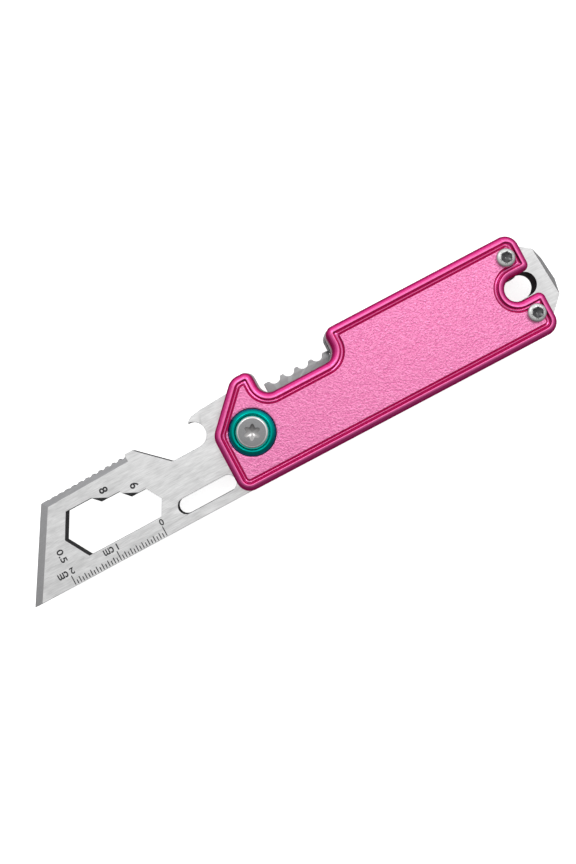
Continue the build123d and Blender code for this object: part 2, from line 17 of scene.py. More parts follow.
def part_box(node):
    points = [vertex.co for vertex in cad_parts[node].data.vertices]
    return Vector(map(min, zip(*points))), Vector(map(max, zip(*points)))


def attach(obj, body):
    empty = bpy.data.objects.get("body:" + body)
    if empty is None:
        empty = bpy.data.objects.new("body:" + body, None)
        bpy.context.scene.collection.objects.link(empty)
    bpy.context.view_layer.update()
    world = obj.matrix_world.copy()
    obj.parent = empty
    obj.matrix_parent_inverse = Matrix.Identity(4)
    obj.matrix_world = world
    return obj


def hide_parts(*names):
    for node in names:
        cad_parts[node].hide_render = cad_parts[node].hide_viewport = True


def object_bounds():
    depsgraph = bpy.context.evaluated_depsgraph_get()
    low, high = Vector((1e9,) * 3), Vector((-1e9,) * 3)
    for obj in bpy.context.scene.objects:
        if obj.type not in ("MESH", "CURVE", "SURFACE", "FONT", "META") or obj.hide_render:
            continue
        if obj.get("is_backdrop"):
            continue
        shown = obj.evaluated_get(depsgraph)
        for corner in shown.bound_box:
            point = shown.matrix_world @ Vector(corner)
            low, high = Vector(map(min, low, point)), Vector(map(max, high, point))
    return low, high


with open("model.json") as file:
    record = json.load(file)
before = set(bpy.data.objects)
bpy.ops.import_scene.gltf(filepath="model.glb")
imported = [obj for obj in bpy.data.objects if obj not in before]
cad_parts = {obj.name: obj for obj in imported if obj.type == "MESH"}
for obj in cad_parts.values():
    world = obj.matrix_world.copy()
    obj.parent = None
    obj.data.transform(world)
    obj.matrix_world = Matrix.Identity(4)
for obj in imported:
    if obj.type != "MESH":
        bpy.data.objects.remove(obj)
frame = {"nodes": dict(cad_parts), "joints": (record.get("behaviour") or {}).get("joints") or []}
cad_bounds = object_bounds()
MM = 0.001

# %% [markdown]
# Every part of this tool is laid out from the pivot, as on the real one, so the pivot's axis is the
# zero of all the places below. The frame's joint says where it is. The open blade dips a little below
# the handle's line: its swing is that much more than half a turn, so the joint's range tells the tilt.

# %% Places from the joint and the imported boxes
fold = next(joint for joint in frame["joints"] if joint["name"] == "blade_fold")
PIVOT = Vector((fold["pos_m"][0], fold["pos_m"][1], 0))
BLADE_TILT = radians(fold["range_deg"][1] - 180)
HANDLE_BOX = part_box("front_scale")
BLADE_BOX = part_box("blade")
BLADE_TOP = BLADE_BOX[1].z / MM
FACE_TOP = HANDLE_BOX[1].z / MM


def at(x, y, z=0.0):
    """A place given in millimetres from the pivot's axis, as a vector in metres."""
    return PIVOT + Vector((x, y, z)) * MM


def on_blade(x, y, z=0.0):
    """A place on the blade, measured along and across the blade itself."""
    return PIVOT + Matrix.Rotation(BLADE_TILT, 3, "Z") @ Vector((x, y, z)) * MM


print("pivot axis", tuple(round(c, 5) for c in PIVOT), "blade tilt", round(degrees(BLADE_TILT), 2), "degrees")

# %% [markdown]
# The camera looks straight down on the tool, close enough that the tall parts lean outwards a little.
# The tool lies aslant in the view: the camera turns about its own line of sight, and the tool stays
# square to the axes.

# %% Camera
VIEW_TURN = radians(-27.85)      # the tool's long axis rises this much to the right
CAMERA_HEIGHT = 135.0            # above the blade's front face
CAMERA_OVER = (5.98, -3.08)      # the camera stands over this place
camera_data = bpy.data.cameras.new("camera")
camera_data.sensor_fit = "AUTO"
camera_data.sensor_width = 36.0
camera_data.lens = 29.1
camera_data.clip_start = 0.005
camera = bpy.data.objects.new("camera", camera_data)
camera.location = at(*CAMERA_OVER, BLADE_TOP + CAMERA_HEIGHT)
camera.rotation_euler = (0, 0, VIEW_TURN)
bpy.context.scene.collection.objects.link(camera)
bpy.context.scene.camera = camera
print("camera at", tuple(round(c, 4) for c in camera.location))

# %% [markdown]
# Small shiny things are shown on a white sweep under a broad soft light. Metal mirrors what is around
# it, so the surroundings matter more than the colour. A few lamps would leave hard bright patches, so
# here the light is a dome. It is brightest between overhead and the far side and falls off to dim on
# the near side, so that flat faces whiten and slopes that look to the near side go dark. Far and near
# are what the camera has at its top and bottom. The camera sees plain white past the floor.

# %% Surroundings
FAR_WAY = Vector((sin(-VIEW_TURN), cos(-VIEW_TURN), 0))   # level, towards the top of the view
RIGHT_WAY = Vector((cos(-VIEW_TURN), -sin(-VIEW_TURN), 0))
ABOVE = Vector((0, 0, 1))
DOME_LEAN = 0.75                 # how far the dome's brightest part leans to the far side
DOME_DIM = (-0.10, 0.17)         # where the cosine to that part is this, the dome is this bright
DOME_BRIGHT = (0.85, 1.08)       # and the same at its bright end
world = bpy.data.worlds.new("studio")
world.use_nodes = True
bpy.context.scene.world = world
sky = world.node_tree
sky.nodes["Background"].inputs["Color"].default_value = (1, 1, 1, 1)
direction = sky.nodes.new("ShaderNodeTexCoord")
facing = sky.nodes.new("ShaderNodeVectorMath")
facing.operation = "DOT_PRODUCT"
facing.inputs[1].default_value = (FAR_WAY * DOME_LEAN + ABOVE).normalized()
dome = sky.nodes.new("ShaderNodeMapRange")
dome.inputs["From Min"].default_value, dome.inputs["To Min"].default_value = DOME_DIM
dome.inputs["From Max"].default_value, dome.inputs["To Max"].default_value = DOME_BRIGHT
seen = sky.nodes.new("ShaderNodeLightPath")
chosen = sky.nodes.new("ShaderNodeMix")
chosen.inputs["B"].default_value = 1.0
sky.links.new(direction.outputs["Generated"], facing.inputs[0])
sky.links.new(facing.outputs["Value"], dome.inputs["Value"])
sky.links.new(seen.outputs["Is Camera Ray"], chosen.inputs["Factor"])
sky.links.new(dome.outputs["Result"], chosen.inputs["A"])
sky.links.new(chosen.outputs["Result"], sky.nodes["Background"].inputs["Strength"])
bpy.context.scene.view_settings.view_transform = "Standard"
print("dome leans", round(degrees(atan2(DOME_LEAN, 1))), "degrees to the far side")

# %% [markdown]
# Two small soft lights stand on the far side, left and right. They draw the bright flecks on the
# collar and the screw heads. A white floor would light every side wall from below and wash its shape
# out, so a studio lays black flags around the thing, just out of sight. Here the paper is white to the
# eye and dark grey in reflections, which does the same.


# %% Floor and lights
def soft_light(name, place, size, power):
    """A soft light that faces the middle of the tool."""
    bpy.ops.object.light_add(type="AREA", location=place)
    light = bpy.context.object
    light.name = name
    light.rotation_euler = (-place).to_track_quat("-Z", "Y").to_euler()
    light.data.shape = "RECTANGLE"
    light.data.size, light.data.size_y = size
    light.data.energy = power


def shader_of(material):
    """The material's Principled shader."""
    return next(node for node in material.node_tree.nodes if node.type == "BSDF_PRINCIPLED")


soft_light("far_left", FAR_WAY * 0.30 - RIGHT_WAY * 0.22 + ABOVE * 0.38, (0.20, 0.12), 0.22)
soft_light("far_right", FAR_WAY * 0.32 + RIGHT_WAY * 0.22 + ABOVE * 0.40, (0.24, 0.12), 0.28)

FLOOR_SIZE = 3.0
FLOOR_DROP = 0.00002             # keeps the paper from touching the tool
bpy.ops.object.select_all(action="DESELECT")
bpy.ops.mesh.primitive_plane_add(size=FLOOR_SIZE, location=(0, 0, -FLOOR_DROP))
floor = bpy.context.object
floor.name = "floor"
paper = bpy.data.materials.new("white_paper")
paper.use_nodes = True
shader_of(paper).inputs["Base Color"].default_value = (0.92, 0.92, 0.92, 1)
shader_of(paper).inputs["Roughness"].default_value = 0.9
shader_of(paper).inputs["Emission Color"].default_value = (1, 1, 1, 1)
shader_of(paper).inputs["Emission Strength"].default_value = 0.75
flagged = paper.node_tree.nodes.new("ShaderNodeBsdfDiffuse")
flagged.inputs["Color"].default_value = (0.30, 0.30, 0.30, 1)
ray = paper.node_tree.nodes.new("ShaderNodeLightPath")
which = paper.node_tree.nodes.new("ShaderNodeMixShader")
paper.node_tree.links.new(ray.outputs["Is Camera Ray"], which.inputs[0])
paper.node_tree.links.new(flagged.outputs["BSDF"], which.inputs[1])
paper.node_tree.links.new(shader_of(paper).outputs["BSDF"], which.inputs[2])
paper.node_tree.links.new(which.outputs["Shader"], paper.node_tree.nodes["Material Output"].inputs["Surface"])
floor.data.materials.append(paper)
floor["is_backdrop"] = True

# %% [markdown]
# ## Finishes
# A finish is a colour, a gloss and a grain. The grain's size is what makes a small thing believable:
# bead blasting leaves pits a few tenths of a millimetre across, and a brushed blade has lines half as
# wide and a few millimetres long. An unwrapped image could hold the grain too, but noise on Object
# coordinates needs no unwrapping and still stays put on the part when it moves.


# %% A kit for finishes
DYE_TINT = (1.0, 0.35, 0.65, 1)  # a pink dye also colours what it mirrors at a low angle


def new_finish(name, metallic, roughness):
    """A material with its node tree and shader ready."""
    material = bpy.data.materials.new(name)
    material.use_nodes = True
    shader = shader_of(material)
    shader.inputs["Metallic"].default_value = metallic
    shader.inputs["Roughness"].default_value = roughness
    if name.startswith("pink"):
        shader.inputs["Specular Tint"].default_value = DYE_TINT
    return material, material.node_tree, shader


def grain(tree, size, stretch=(1, 1, 1), turn=0.0, detail=3.0):
    """Noise whose blotches are about size millimetres, longer where stretch is larger."""
    where = tree.nodes.new("ShaderNodeTexCoord")
    mapping = tree.nodes.new("ShaderNodeMapping")
    mapping.inputs["Rotation"].default_value = (0, 0, turn)
    mapping.inputs["Scale"].default_value = [1 / (size * MM * s) for s in stretch]
    noise = tree.nodes.new("ShaderNodeTexNoise")
    noise.inputs["Scale"].default_value = 1.0
    noise.inputs["Detail"].default_value = detail
    tree.links.new(where.outputs["Object"], mapping.inputs["Vector"])
    tree.links.new(mapping.outputs["Vector"], noise.inputs["Vector"])
    return noise.outputs["Fac"]


def ramp(tree, factor, low, high, start=0.3, end=0.7):
    """Turns a noise into a colour or a grey between two values."""
    node = tree.nodes.new("ShaderNodeValToRGB")
    for element, place, value in zip(node.color_ramp.elements, (start, end), (low, high)):
        element.position = place
        element.color = (*value, 1) if len(value) == 3 else (*value * 3, 1)
    tree.links.new(factor, node.inputs["Fac"])
    return node.outputs["Color"]


def pits(tree, shader, factor, depth):
    """Makes a noise stand out as relief, depth millimetres deep."""
    bump = tree.nodes.new("ShaderNodeBump")
    bump.inputs["Strength"].default_value = 1.0
    bump.inputs["Distance"].default_value = depth * MM
    tree.links.new(factor, bump.inputs["Height"])
    tree.links.new(bump.outputs["Normal"], shader.inputs["Normal"])


def blasted(name, dark, light, roughness, pit_depth, size=0.3, metallic=1.0):
    """Bead-blasted and dyed metal: even pits of that size, and a dye that pools in them."""
    material, tree, shader = new_finish(name, metallic, roughness)
    fine = grain(tree, size, detail=2.0)
    tree.links.new(ramp(tree, fine, dark, light), shader.inputs["Base Color"])
    tree.links.new(ramp(tree, fine, (roughness + 0.05,), (roughness - 0.05,)), shader.inputs["Roughness"])
    pits(tree, shader, fine, pit_depth)
    return material


def average(tree, first, second):
    """The mean of two noises."""
    total = tree.nodes.new("ShaderNodeMath")
    total.operation = "ADD"
    tree.links.new(first, total.inputs[0])
    tree.links.new(second, total.inputs[1])
    half = tree.nodes.new("ShaderNodeMath")
    half.operation = "MULTIPLY"
    half.inputs[1].default_value = 0.5
    tree.links.new(total.outputs[0], half.inputs[0])
    return half.outputs[0]


def brushed(name, dark, light, roughness, turn=0.0, streak=(14, 1, 1), scratch=0.003, size=0.14):
    """Steel ground with a belt: fine lines along one direction, and a broad drift of tone."""
    material, tree, shader = new_finish(name, 1.0, roughness)
    fine = grain(tree, size, stretch=streak, turn=turn, detail=3.0)
    drift = grain(tree, size * 6, stretch=[1 + (s - 1) / 5 for s in streak], turn=turn + 0.1, detail=4.0)
    lines = average(tree, fine, drift)
    tree.links.new(ramp(tree, lines, dark, light), shader.inputs["Base Color"])
    tree.links.new(ramp(tree, lines, (roughness + 0.08,), (roughness - 0.05,)), shader.inputs["Roughness"])
    pits(tree, shader, lines, scratch)
    return material


print("finish kit ready")

# %% [markdown]
# The scales are aluminium, blasted and dyed pink. Their rim is dyed the same, but blasting rounds and polishes
# an edge, so it is glossier and its colour deeper. Further down the rolled slope and on the walls the pink is
# painted darker, as painted shade. The groove's floors and the holes' bores are painted deep crimson to near
# black, painted shade where little light reaches, and the holes' mouths are painted a lighter pink, a painted
# highlight. The walls of the blade's openings and of the plates, the bevel behind the blade's teeth, the tail
# screws' recesses and the collar's foot are painted darker too, as painted shade. The steel is brushed where it
# is flat or ground, and the screws and the teal collar are turned, so their grain is too fine to see.

# %% The finishes of this tool
FINISH = {
    "pink_face": blasted("pink_face", (0.78, 0.19, 0.42), (0.98, 0.33, 0.59), 0.38, 0.17, size=0.30),
    # A hole's mouth: a lighter pink, a painted highlight.
    "pink_mouth_painted_highlight": blasted("pink_mouth_painted_highlight", (0.95, 0.42, 0.62), (1.0, 0.52, 0.72), 0.26, 0.004),
    "pink_rim": blasted("pink_rim", (0.92, 0.14, 0.42), (1.0, 0.22, 0.52), 0.33, 0.012),
    # Down the rolled slope: pink painted darker, a painted shade.
    "pink_slope_painted_shade": blasted("pink_slope_painted_shade", (0.78, 0.05, 0.28), (0.88, 0.08, 0.35), 0.33, 0.012),
    # The outer walls: pink painted darker still, a painted shade.
    "pink_wall_painted_shade": blasted("pink_wall_painted_shade", (0.62, 0.02, 0.18), (0.72, 0.035, 0.23), 0.38, 0.010),
    "pink_groove": blasted("pink_groove", (0.90, 0.16, 0.44), (1.0, 0.24, 0.54), 0.24, 0.004),
    # The groove's floors: deep crimson, a painted shade.
    "pink_painted_crease_shade": blasted("pink_painted_crease_shade", (0.40, 0.015, 0.13), (0.50, 0.03, 0.17), 0.30, 0.004),
    # The holes' bores: near black, a painted shade.
    "pink_bore_painted_shade": blasted("pink_bore_painted_shade", (0.10, 0.004, 0.03), (0.16, 0.008, 0.05), 0.4, 0.004),
    # The collar's foot: near black, a painted shade.
    "teal_painted_shade": blasted("teal_painted_shade", (0.0, 0.03, 0.05), (0.0, 0.05, 0.07), 0.30, 0.0006, size=0.1),
    "teal": blasted("teal", (0.0, 0.36, 0.31), (0.0, 0.46, 0.40), 0.24, 0.0006, size=0.1),
    "blade_flat": brushed("blade_flat", (0.58, 0.58, 0.58), (0.88, 0.88, 0.88), 0.36, turn=-BLADE_TILT),
    "blade_ground": brushed("blade_ground", (0.66, 0.66, 0.67), (0.80, 0.80, 0.81), 0.34, turn=1.0),
    # The bevel behind the teeth: darker grey, a painted shade.
    "blade_serrated_painted_shade": brushed("blade_serrated_painted_shade", (0.36, 0.36, 0.37), (0.46, 0.46, 0.47), 0.34, turn=1.6),
    # Walls of the openings and the plates' edges: saw marks, and near black as a painted shade.
    "steel_wall_painted_shade": brushed("steel_wall_painted_shade", (0.10, 0.10, 0.105), (0.16, 0.16, 0.165), 0.42, streak=(1, 1, 20)),
    "plate_flat": brushed("plate_flat", (0.52, 0.52, 0.52), (0.76, 0.76, 0.76), 0.36, turn=radians(90)),
    "satin_steel": brushed("satin_steel", (0.30, 0.30, 0.31), (0.40, 0.40, 0.40), 0.38, streak=(6, 1, 1)),
    "screw_face": blasted("screw_face", (0.22, 0.22, 0.225), (0.32, 0.32, 0.325), 0.34, 0.002, size=0.12),
    "button_face": blasted("button_face", (0.56, 0.57, 0.56), (0.70, 0.71, 0.70), 0.34, 0.002, size=0.12),
    "screw_edge": blasted("screw_edge", (0.70, 0.70, 0.70), (0.80, 0.80, 0.80), 0.24, 0.0005, size=0.1),
    # The tail screws' recesses: near black, a painted shade.
    "recess_painted_shade": blasted("recess_painted_shade", (0.06, 0.06, 0.062), (0.14, 0.14, 0.145), 0.25, 0.002, size=0.1),
    "recess": blasted("recess", (0.34, 0.33, 0.33), (0.46, 0.45, 0.45), 0.22, 0.002, size=0.1),
    "bronze": blasted("bronze", (0.55, 0.35, 0.15), (0.66, 0.45, 0.22), 0.35, 0.001, size=0.1),
    "laser_black": blasted(
        "laser_black", (0.012, 0.012, 0.014), (0.03, 0.03, 0.034), 0.75, 0.001, metallic=0.0,
    ),
}
print("finishes:", ", ".join(sorted(FINISH)))


# %% [markdown]
# ## A kit for shaping
# Most pieces start in one of three ways. A sawn plate comes from its CAD part: a copy has its loose
# triangles merged, and then its edges are bevelled a little, because no real edge is perfectly sharp
# and the thin bright line along it is what the eye looks for. A turned piece is half a cross-section
# spun round its axis. A milled scale is a loop extruded inwards.


# %% A kit for shaping
def start_with(piece):
    """Leave only this piece selected and active."""
    bpy.ops.object.select_all(action="DESELECT")
    bpy.context.view_layer.objects.active = piece
    piece.select_set(True)
    return piece


def apply_modifier(piece, kind, **settings):
    """Add a modifier, set it up and apply it at once."""
    modifier = start_with(piece).modifiers.new(kind.lower(), kind)
    for name, value in settings.items():
        setattr(modifier, name, value)
    bpy.ops.object.modifier_apply(modifier=modifier.name)
    return piece


def smooth(piece, angle=34):
    """Shade curved stretches smooth, keep sharper edges crisp, and let the large flats stay flat."""
    start_with(piece)
    bpy.ops.object.shade_smooth_by_angle(angle=radians(angle))
    return apply_modifier(piece, "WEIGHTED_NORMAL", mode="FACE_AREA", keep_sharp=True)


def cut(piece, *cutters):
    """Subtract each cutter and throw it away."""
    for cutter in cutters:
        apply_modifier(piece, "BOOLEAN", operation="DIFFERENCE", solver="EXACT", object=cutter)
        bpy.data.objects.remove(cutter)
    return piece


def triangles(piece):
    """How many triangles the piece's mesh has."""
    return sum(len(face.vertices) - 2 for face in piece.data.polygons)


def hand_over(piece, body, slot, *nodes):
    """Tie a finished piece to its body, in place of CAD nodes; the slot argument is not used."""
    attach(piece, body)
    if nodes:
        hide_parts(*nodes)
    print(f"{piece.name}: {triangles(piece)} triangles")


def copy_of_part(node, name):
    """A free copy of a CAD part with its loose triangles merged."""
    source = frame["nodes"][node]
    piece = bpy.data.objects.new(name, source.data.copy())
    bpy.context.scene.collection.objects.link(piece)
    start_with(piece)
    bpy.ops.object.mode_set(mode="EDIT")
    bpy.ops.mesh.select_all(action="SELECT")
    bpy.ops.mesh.customdata_custom_splitnormals_clear()
    bpy.ops.mesh.remove_doubles(threshold=0.001 * MM)
    bpy.ops.object.mode_set(mode="OBJECT")
    return piece


def break_edges(piece, width, angle=35, leave=None):
    """Round every edge that turns more than the angle, apart from those whose middle is left sharp."""
    start_with(piece)
    bpy.ops.object.mode_set(mode="EDIT")
    bpy.ops.mesh.select_mode(type="EDGE")
    bpy.ops.mesh.select_all(action="DESELECT")
    for edge in bmesh.from_edit_mesh(piece.data).edges:
        middle = (edge.verts[0].co + edge.verts[1].co) / 2
        edge.select = edge.calc_face_angle(0) > radians(angle) and not (leave and leave(middle))
    bpy.ops.mesh.bevel(offset=width * MM, segments=2, affect="EDGES", clamp_overlap=False)
    bpy.ops.mesh.select_mode(type="VERT")
    bpy.ops.object.mode_set(mode="OBJECT")
    return piece


def finish_faces(piece, names, choose):
    """Give the piece its finishes, one for each face: choose(face) returns a place in names."""
    piece.data.materials.clear()
    for name in names:
        piece.data.materials.append(FINISH[name])
    for face in piece.data.polygons:
        face.material_index = choose(face)
    return piece


print("shaping kit ready")

# %% [markdown]
# ## The scales
# A scale is a flat plate whose outline has thirteen rounded corners. Its edge is rolled over, up to a
# crest that runs all round. Inside the crest lies a groove with a low ridge along its middle, and then
# the blasted face. A bevel could round the edge but not draw the groove. All of these run parallel to
# the outline, so the plate is drawn as rings: the outline is a circle whose vertices are sent to their
# places, and each next ring is extruded from the last one, a little further in. A ring keeps the
# centres of the corner arcs where it can, so the quads between rings stay even.

# %% The outline and its parallel rings
LEFT_END = (HANDLE_BOX[0].x - PIVOT.x) / MM
TAIL_END = (HANDLE_BOX[1].x - PIVOT.x) / MM
LOW_SIDE = (HANDLE_BOX[0].y - PIVOT.y) / MM
HIGH_SIDE = (HANDLE_BOX[1].y - PIVOT.y) / MM
NOTCH_LOW, NOTCH_HIGH, NOTCH_END = -1.76, 2.96, 54.5
CUTOUT_LEFT, CUTOUT_RIGHT, CUTOUT_FLOOR = 4.85, 20.8, 5.03
CORNERS = [  # x, y and radius, in order round the plate
    (LEFT_END, LOW_SIDE, 2.7),
    (TAIL_END, LOW_SIDE, 2.7),
    (TAIL_END, NOTCH_LOW, 1.3),
    (NOTCH_END, NOTCH_LOW, 2.31),
    (NOTCH_END, NOTCH_HIGH, 2.31),
    (TAIL_END, NOTCH_HIGH, 1.3),
    (TAIL_END, HIGH_SIDE, 2.7),
    (CUTOUT_RIGHT, HIGH_SIDE, 1.6),
    (CUTOUT_RIGHT, CUTOUT_FLOOR, 2.45),
    (CUTOUT_LEFT, CUTOUT_FLOOR, 2.45),
    (CUTOUT_LEFT, HIGH_SIDE, 1.6),
    (0.95, HIGH_SIDE, 3.0),
    (LEFT_END, 2.55, 3.2),
]
CORNER_STEPS = 14
TIGHTEST = 0.28                  # smallest corner radius of an inner ring


def ring(inset, height):
    """The outline moved inwards, as points in millimetres."""
    points = []
    for index, (x, y, radius) in enumerate(CORNERS):
        before = Vector(CORNERS[index - 1][:2])
        after = Vector(CORNERS[(index + 1) % len(CORNERS)][:2])
        corner = Vector((x, y))
        arrive = (corner - before).normalized()
        leave = (after - corner).normalized()
        turn = atan2(arrive.cross(leave), arrive.dot(leave))
        left = Vector((-arrive.y, arrive.x))
        moved = corner + left * inset - arrive * inset * tan(turn / 2)
        bend = max(radius - inset, TIGHTEST) if turn > 0 else radius + inset
        side = 1 if turn > 0 else -1
        start = moved - arrive * bend * tan(abs(turn) / 2)
        centre = start + left * side * bend
        for step in range(CORNER_STEPS + 1):
            swing = Matrix.Rotation(turn * step / CORNER_STEPS, 2)
            spoke = swing @ (left * -side * bend)
            points.append((*(centre + spoke), height))
    return points


print("points in a ring:", len(ring(0, 0)))

# %% [markdown]
# The first ring is the broken edge against the liner, and the wall rises from it. Insetting with the
# inset operator would be quicker, but it has no say in how tight an inner corner gets. So each ring is
# extruded in place and its vertices are sent to the next list of points, which starts at the same
# corner and runs the same way round.


# %% The plate, ring by ring
def ring_shell(name, rings):
    """A closed shell: a filled circle sent to the first ring, then extruded to each of the others."""
    bpy.ops.object.select_all(action="DESELECT")
    bpy.ops.mesh.primitive_circle_add(vertices=len(rings[0]), fill_type="NGON")
    piece = bpy.context.object
    piece.name = name
    bpy.ops.object.mode_set(mode="EDIT")
    mesh = bmesh.from_edit_mesh(piece.data)
    for vertex, point in zip(mesh.faces[:][0].verts, rings[0]):
        vertex.co = at(*point)
    for last, points in zip(rings, rings[1:]):
        bpy.ops.mesh.extrude_region_move()
        mesh = bmesh.from_edit_mesh(piece.data)
        lid = next(face for face in mesh.faces if face.select)
        around = [loop.vert for loop in lid.loops]
        first = min(range(len(around)), key=lambda i: (around[i].co - at(*last[0])).length)
        around = around[first:] + around[:first]
        if (around[1].co - at(*last[1])).length > (around[-1].co - at(*last[1])).length:
            around = around[:1] + around[:0:-1]
        for vertex, point in zip(around, points):
            vertex.co = at(*point)
    bpy.ops.mesh.select_all(action="SELECT")
    bpy.ops.mesh.normals_make_consistent(inside=False)
    bpy.ops.object.mode_set(mode="OBJECT")
    return piece


RIM_DROP = 1.0                   # the rolled edge starts this far below the crest
BACK_BREAK = 0.08                # edge break against the liner
ROLLED_RIM = [                   # inset and height from the crest, up the rolled edge
    (0.01, -0.90), (0.05, -0.78), (0.12, -0.67), (0.21, -0.56), (0.33, -0.45), (0.47, -0.34), (0.62, -0.24),
    (0.77, -0.15), (0.90, -0.08), (1.01, -0.03), (1.10, 0.0),
]
CREST_AND_GROOVE = [             # and on across the crest and the groove to the face
    (1.18, -0.01), (1.24, -0.05), (1.30, -0.13), (1.46, -0.36), (1.52, -0.39), (1.58, -0.38), (1.72, -0.27),
    (1.78, -0.25), (1.84, -0.27), (1.94, -0.38), (2.00, -0.40), (2.06, -0.37), (2.22, -0.15), (2.28, -0.11),
    (2.33, -0.10),
]


def scale_plate(name, back, crest):
    """A scale from its flat back to its crest; the back may be above or below."""
    outwards = 1 if crest > back else -1
    profile = [(BACK_BREAK, back), (0, back + BACK_BREAK * outwards), (0, crest - RIM_DROP * outwards)]
    profile += [(inset, crest + rise * outwards) for inset, rise in ROLLED_RIM + CREST_AND_GROOVE]
    return ring_shell(name, [ring(inset, height) for inset, height in profile])


front_plate = scale_plate("front_scale_plate", HANDLE_BOX[0].z / MM, FACE_TOP)
REAR_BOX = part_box("rear_scale")
rear_plate = scale_plate("rear_scale_plate", REAR_BOX[1].z / MM, REAR_BOX[0].z / MM)
print("front plate", triangles(front_plate), "triangles; rear plate", triangles(rear_plate))


# %% [markdown]
# The holes come next. Each cutter is a turned shape, so that the hole gets its shoulder and the small
# countersink at its mouth in one cut. Spinning a closed half-section round an upright axis makes it;
# where the section touches the axis, the spin leaves doubled vertices there, and merging closes them.


# %% Turned pieces and cutters
def turned(name, section, centre, steps=96):
    """Spin a half-section, given as radius and height, round an upright axis."""
    bpy.ops.object.select_all(action="DESELECT")
    bpy.ops.mesh.primitive_circle_add(vertices=len(section), fill_type="NOTHING")
    piece = bpy.context.object
    piece.name = name
    bpy.ops.object.mode_set(mode="EDIT")
    mesh = bmesh.from_edit_mesh(piece.data)
    for vertex, (radius, height) in zip(mesh.verts, section):
        vertex.co = centre + Vector((radius, 0, height)) * MM
    bpy.ops.mesh.select_all(action="SELECT")
    bpy.ops.mesh.spin(steps=steps, angle=2 * pi, center=centre, axis=(0, 0, 1))
    bpy.ops.mesh.select_all(action="SELECT")
    bpy.ops.mesh.remove_doubles(threshold=0.0005 * MM)
    bpy.ops.mesh.dissolve_degenerate(threshold=0.0001 * MM)
    bpy.ops.mesh.delete_loose()
    bpy.ops.mesh.select_all(action="SELECT")
    bpy.ops.mesh.normals_make_consistent(inside=False)
    bpy.ops.object.mode_set(mode="OBJECT")
    return piece


COLLAR_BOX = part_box("front_pivot_collar")
SEAT_Z = COLLAR_BOX[0].z / MM
THROUGH = 3                      # a cutter reaches this far below the collar's seat
PAST = 1                         # and this far past the outer face
COUNTERBORE = 4.6
BORE = 2.45
MOUTH, MOUTH_DROP = 0.58, 0.28    # countersink at the mouth of the counterbore
TAIL_SCREWS = {
    side: ((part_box(f"front_tail_screw_{side}")[0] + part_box(f"front_tail_screw_{side}")[1]) / 2 - PIVOT) / MM
    for side in ("upper", "lower")
}


def mirror_heights(section, turn_over):
    """A section for the front, or turned over for the rear, where heights run down from the front."""
    return [(radius, FACE_TOP - height) if turn_over else (radius, height) for radius, height in section]


def pivot_cutter(turn_over):
    section = [
        (0, SEAT_Z - THROUGH), (BORE, SEAT_Z - THROUGH), (BORE, SEAT_Z), (COUNTERBORE, SEAT_Z),
        (COUNTERBORE, FACE_TOP - MOUTH_DROP), (COUNTERBORE + MOUTH, FACE_TOP),
        (COUNTERBORE + MOUTH, FACE_TOP + PAST), (0, FACE_TOP + PAST),
    ]
    return turned("pivot_cutter", mirror_heights(section, turn_over), at(0, 0))


SHANK_HOLE = 1.0
HEAD_HEIGHT = 0.9                # of a tail screw
REAR_HEAD_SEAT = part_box("rear_tail_screw_upper")[0].z / MM + HEAD_HEIGHT
REAR_HEAD_HOLE = 1.85


def front_screw_cutter(place):
    section = [
        (0, SEAT_Z - THROUGH), (SHANK_HOLE, SEAT_Z - THROUGH),
        (SHANK_HOLE, FACE_TOP + PAST), (0, FACE_TOP + PAST),
    ]
    return turned("front_screw_cutter", section, at(place.x, place.y), steps=40)


def rear_screw_cutter(place):
    section = [
        (0, -1), (REAR_HEAD_HOLE + 0.3, -1), (REAR_HEAD_HOLE + 0.2, 0), (REAR_HEAD_HOLE, 0.25),
        (REAR_HEAD_HOLE, REAR_HEAD_SEAT), (SHANK_HOLE, REAR_HEAD_SEAT), (SHANK_HOLE, 4), (0, 4),
    ]
    return turned("rear_screw_cutter", section, at(place.x, place.y), steps=64)


cut(front_plate, pivot_cutter(False), *[front_screw_cutter(place) for place in TAIL_SCREWS.values()])
cut(rear_plate, pivot_cutter(True), *[rear_screw_cutter(place) for place in TAIL_SCREWS.values()])
print("holes cut; front plate has", triangles(front_plate), "triangles")

# %% [markdown]
# The rear scale is also milled out under the lock bar, so that the bar has room to spring down when
# the blade folds. The pocket is hidden from the front but shows through the gap at the side.

# %% The lock bar's pocket in the rear scale
LOCK_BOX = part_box("lock_bar")
LOCK_SLIT = 0.55                 # room round the bar
POCKET_FLOOR, POCKET_TOP = 1.5, 4
pocket_low = Vector((LOCK_BOX[0].x - LOCK_SLIT * MM, LOCK_BOX[0].y - LOCK_SLIT * MM, POCKET_FLOOR * MM))
pocket_high = Vector((LOCK_BOX[1].x + LOCK_SLIT * MM / 2, LOCK_BOX[1].y + LOCK_SLIT * MM, POCKET_TOP * MM))
pocket_middle = (pocket_low + pocket_high) / 2
bpy.ops.object.select_all(action="DESELECT")
bpy.ops.mesh.primitive_cube_add(size=1, location=pocket_middle, scale=pocket_high - pocket_low)
pocket = bpy.context.object
bpy.ops.object.transform_apply(location=True, rotation=True, scale=True)
cut(rear_plate, pocket)
print("pocket", [round(c / MM, 2) for c in pocket_high - pocket_low], "mm")


# %% [markdown]
# The finish follows how far in from the outline a face lies: first the wall and the rolled slope, painted
# darker as shade, then the crest, the groove with its ridge, whose floors are painted shade, and the blasted
# face. Further in, only the holes have tilted faces, so a slanting one is a hole's mouth, painted lighter as a
# highlight, and an upright one is its bore, painted near black as shade.

